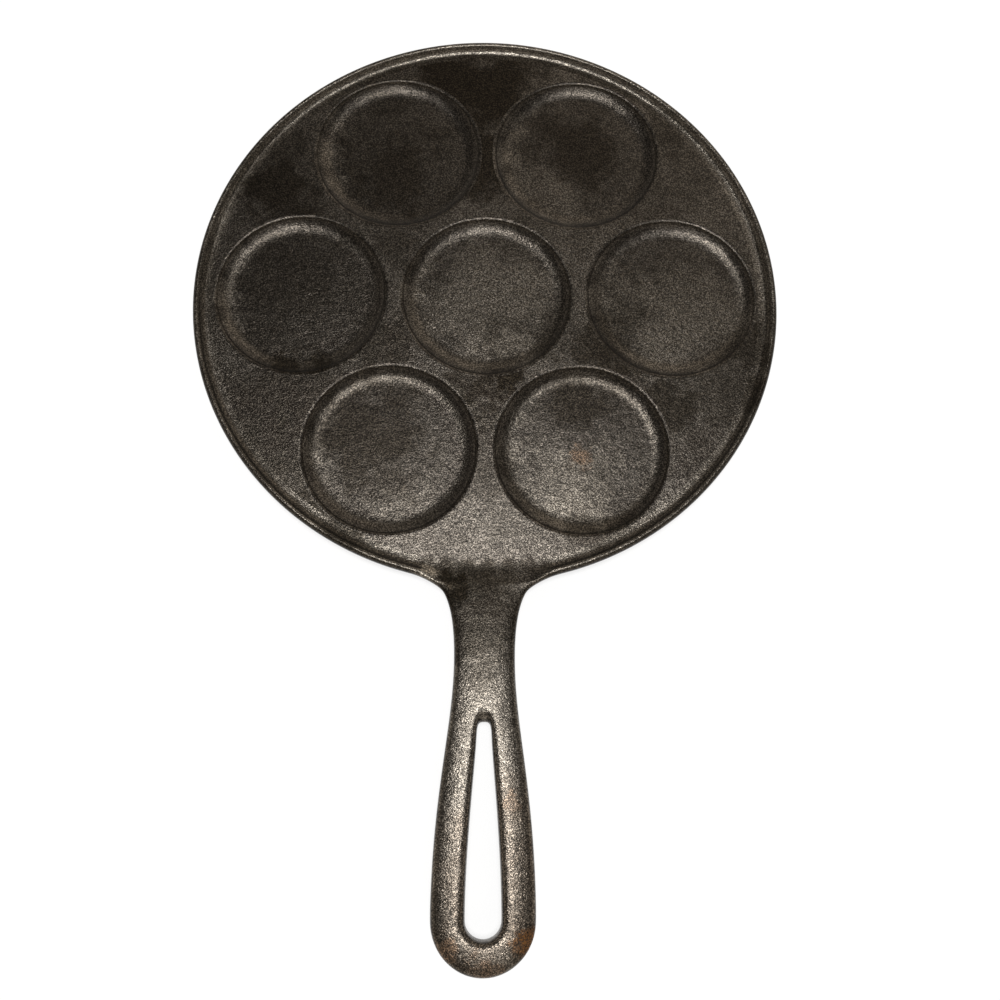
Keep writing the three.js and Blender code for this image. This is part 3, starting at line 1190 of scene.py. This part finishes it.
# Painted sheen on the left wall of every well: reach from the well's middle, height, and rows of turn in
# degrees, radius and strength
WALL_REACH = 31 * MM
WALL_HEIGHT = WELL_FLOOR + 0.7 * MM
WALL_SHEEN_SPOTS = ((152, 8 * MM, 0.09), (180, 9 * MM, 0.14), (208, 8 * MM, 0.09))

# Smudges on the rim's sides and on the bow; painted shade where the handle's foot and neck rise from the
# plate;
# dark patches on the foot's flanks, partly painted shade that takes a highlight off them; a rubbed place on
# the crown, whose lighter colour also paints a highlight, and rust on the loop
HANDLE_SMUDGES_AND_SHADE = (
    *spots_at(8 * MM, (-116, 2, 24, 0.6), (-111, -36, 22, 0.45), (109, -40, 18, 0.85), (-15, -127, 9, 0.9)),
    # Dark patches on the foot's flanks, partly painted shade that takes a highlight off them
    *spots_at(8.5 * MM, (-12.5, -121, 9, 1), (15, -121.5, 8, 0.6)),
    # Painted shade where the handle's foot and neck rise from the plate
    *spots_at(9.5 * MM, (0, -125, 15, 0.75)),
    *spots_at(11 * MM, (0, -136, 26, 0.68)),
    *spots_at(13 * MM, (-15, -240, 9, 0.45), (15, -241, 9, 0.25), (16, -248, 8, 0.7)),
)
# A rubbed place on the crown, whose lighter colour also paints a broad highlight
HANDLE_WORN_AND_HIGHLIGHT = spots_at(RIM_TOP, (-22.5, -118, 6.5, 0.5))
HANDLE_RUST = (
    *spots_at(14.5 * MM, (10, -200, 5, 0.35), (16, -226, 44, 0.12)),
    *spots_at(14 * MM, (15.5, -247, 7, 1), (-13, -250, 7, 0.5)),
    *spots_at(13 * MM, (1, -257, 9, 0.4)),
)


def plate_finish(finish):
    """Finish of the plate."""
    marks = Marks(dark_patches=PLATE_DARK_PATCHES + EDGE_DARK_PATCHES, soft_painted_shade=ROOT_PAINTED_SHADE, dark_lines=(FLAME_SOOT,))
    return iron_material("Seasoned plate iron", finish, finish.plate_iron, marks)


def wall_painted_sheen():
    """Spots of painted sheen on the left wall of every well."""
    spots = []
    for node in WELL_NODES:
        for turn, radius, strength in WALL_SHEEN_SPOTS:
            angle = math.radians(turn)
            away = Vector((WALL_REACH * math.cos(angle), WALL_REACH * math.sin(angle), WALL_HEIGHT))
            spots.append((node_middle(node) + away, radius, strength))
    return tuple(spots)


def well_finish(finish):
    """Finish of the wells."""
    marks = Marks(
        dark_patches=WELL_DARK_PATCHES,
        dark_lines=(WELL_EDGE_DARK_LINE, FOOT_SOOT),
        worn_and_sheen=WELL_WORN + wall_painted_sheen(),
        lighter_marks=(WELL_PAINTED_SHEEN,),
        rust=WELL_RUST,
    )
    return iron_material("Seasoned well iron", finish, finish.well_iron, marks)


def handle_finish(finish):
    """Finish of the rim and the handle."""
    marks = Marks(
        dark_patches=EDGE_DARK_PATCHES + HANDLE_SMUDGES_AND_SHADE,
        soft_painted_shade=ROOT_PAINTED_SHADE,
        dark_lines=(FILLET_PAINTED_SHADE, CROWN_PAINTED_SHADE, TOE_DARK_LINE, FLAME_SOOT),
        shade_rings=(EDGE_PAINTED_SHADE,),
        worn_and_sheen=HANDLE_WORN_AND_HIGHLIGHT,
        rust=HANDLE_RUST,
    )
    return iron_material("Handle iron", finish, finish.handle_iron, marks)


# Stage

# Camera, fitted to the photo
CAMERA_PLACE = (-1.97 * MM, -180.25 * MM, PLATE_TOP + 375.5 * MM)
CAMERA_TILT = math.radians(13.915)
CAMERA_ROLL = math.radians(0.115)
CAMERA_YAW = math.radians(-1.176)
CAMERA_SENSOR = 36
CAMERA_LENS = 35.56
CAMERA_NEAR = 10 * MM

# Floor: its width, how far it lies under the pan, and the share of plain white in what shows of it
FLOOR_SIZE = 12
FLOOR_GAP = 0.1 * MM
FLOOR_LIFT = 0.8

# Room: its colour, the heights between which it dims, its light at both, and its gain on the handle's side
# and on the other
ROOM_COLOR = (1, 0.93, 0.84)
ROOM_HEIGHTS = (0.05, 0.8)
ROOM_LIGHTS = (1, 0.1)
ROOM_GAINS = (1.7, 0.9)


class Lamp(NamedTuple):
    """A round lamp that faces the pan."""

    name: str
    place: tuple
    size: float
    power: float
    tint: tuple


LAMPS = (
    Lamp("overhead_lamp", place=(0, -0.1, 1.8), size=0.4, power=27, tint=(1, 1, 1)),
    Lamp("back_panel", place=(0.5, 1.5, 1.25), size=1.6, power=8, tint=(1, 0.9, 0.78)),
    Lamp("front_panel", place=(0.3, -1.1, 1.5), size=0.8, power=3, tint=(1, 0.93, 0.84)),
)


def floor_material(finish):
    """Pale floor that keeps a light shadow."""
    material = bpy.data.materials.new("Studio floor")
    material.use_nodes = True
    tree = material.node_tree
    tree.nodes.clear()
    matte = add_node(tree, "ShaderNodeBsdfDiffuse", inputs={"Color": (*finish.floor, 1)})
    glow = add_node(tree, "ShaderNodeEmission", inputs={"Color": (1, 1, 1, 1), "Strength": 1})
    rays = add_node(tree, "ShaderNodeLightPath")
    seen = largest(
        tree,
        [rays.outputs["Is Camera Ray"], rays.outputs["Is Glossy Ray"], rays.outputs["Is Transmission Ray"]],
    )
    blend = add_node(tree, "ShaderNodeMixShader")
    tree.links.new(math_node(tree, "MULTIPLY", seen, FLOOR_LIFT), blend.inputs["Fac"])
    tree.links.new(matte.outputs[0], blend.inputs[1])
    tree.links.new(glow.outputs[0], blend.inputs[2])
    output = add_node(tree, "ShaderNodeOutputMaterial")
    tree.links.new(blend.outputs[0], output.inputs["Surface"])
    return material


def light_room(scene):
    """A room that is light near the horizon, dim overhead and lighter on the handle's side."""
    world = bpy.data.worlds.new("Studio room")
    world.use_nodes = True
    scene.world = world
    tree = world.node_tree
    background = tree.nodes["Background"]
    direction = add_node(tree, "ShaderNodeTexCoord").outputs["Generated"]
    split = add_node(tree, "ShaderNodeSeparateXYZ")
    tree.links.new(direction, split.inputs[0])
    height = math_node(tree, "ABSOLUTE", split.outputs["Z"])
    background.inputs["Color"].default_value = (*ROOM_COLOR, 1)
    level = ramp(tree, height, *ROOM_HEIGHTS, *ROOM_LIGHTS)
    gain = linear(tree, split.outputs["Y"], -1, 1, *ROOM_GAINS)
    tree.links.new(math_node(tree, "MULTIPLY", level, gain), background.inputs["Strength"])


def add_lamp(lamp):
    """Hangs one lamp."""
    bpy.ops.object.light_add(type="AREA", location=lamp.place)
    light = bpy.context.object
    light.name = lamp.name
    light.rotation_euler = (-Vector(lamp.place)).to_track_quat("-Z", "Y").to_euler()
    light.data.shape = "DISK"
    light.data.size = lamp.size
    light.data.energy = lamp.power
    light.data.color = lamp.tint


class PlettStage(bpy.types.Operator):
    """Sets the floor, the lamps, the room and the camera"""

    bl_idname = "scene.plett_stage"
    bl_label = "Stage"
    bl_options = {"REGISTER", "UNDO"}

    def execute(self, context):
        scene = context.scene
        start_piece()
        bpy.ops.mesh.primitive_plane_add(size=FLOOR_SIZE, location=(0, 0, -FLOOR_GAP))
        floor = context.object
        floor.name = "studio_floor"
        floor.data.materials.append(floor_material(scene.plett_pan_finish))

        for lamp in LAMPS:
            add_lamp(lamp)
        light_room(scene)

        bpy.ops.object.camera_add(location=CAMERA_PLACE)
        camera = context.object
        camera.name = "photo_camera"
        turn = Matrix.Rotation(CAMERA_YAW, 4, "Y")
        turn = turn @ Matrix.Rotation(CAMERA_TILT, 4, "X")
        turn = turn @ Matrix.Rotation(CAMERA_ROLL, 4, "Z")
        camera.rotation_euler = turn.to_euler()
        camera.data.sensor_fit = "HORIZONTAL"
        camera.data.sensor_width = CAMERA_SENSOR
        camera.data.lens = CAMERA_LENS
        camera.data.clip_start = CAMERA_NEAR
        scene.camera = camera
        scene.view_settings.view_transform = "Standard"
        return {"FINISHED"}


class PlettPanPanel(bpy.types.Panel):
    """Lists the casting's sizes, finish and pieces"""

    bl_idname = "VIEW3D_PT_plett_pan"
    bl_label = "Plett pan"
    bl_space_type = "VIEW_3D"
    bl_region_type = "UI"
    bl_category = "Plett pan"

    def draw(self, context):
        layout = self.layout
        for group in (context.scene.plett_pan_sizes, context.scene.plett_pan_finish):
            column = layout.column(align=True)
            for name in group.__annotations__:
                column.prop(group, name)
        for operator in OPERATORS:
            layout.operator(operator.bl_idname)


OPERATORS = (PlettWells, PlettPlate, PlettRimHandle, PlettStage)
CLASSES = (PlettPanSizes, PlettPanFinish, *OPERATORS, PlettPanPanel)


def register():
    for cls in CLASSES:
        bpy.utils.register_class(cls)
    bpy.types.Scene.plett_pan_sizes = bpy.props.PointerProperty(type=PlettPanSizes)
    bpy.types.Scene.plett_pan_finish = bpy.props.PointerProperty(type=PlettPanFinish)


def unregister():
    del bpy.types.Scene.plett_pan_finish
    del bpy.types.Scene.plett_pan_sizes
    for cls in reversed(CLASSES):
        bpy.utils.unregister_class(cls)


def main():
    register()
    bpy.ops.mesh.plett_wells()
    bpy.ops.mesh.plett_plate()
    bpy.ops.mesh.plett_rim_handle()
    bpy.ops.scene.plett_stage()


if __name__ == "__main__":
    main()
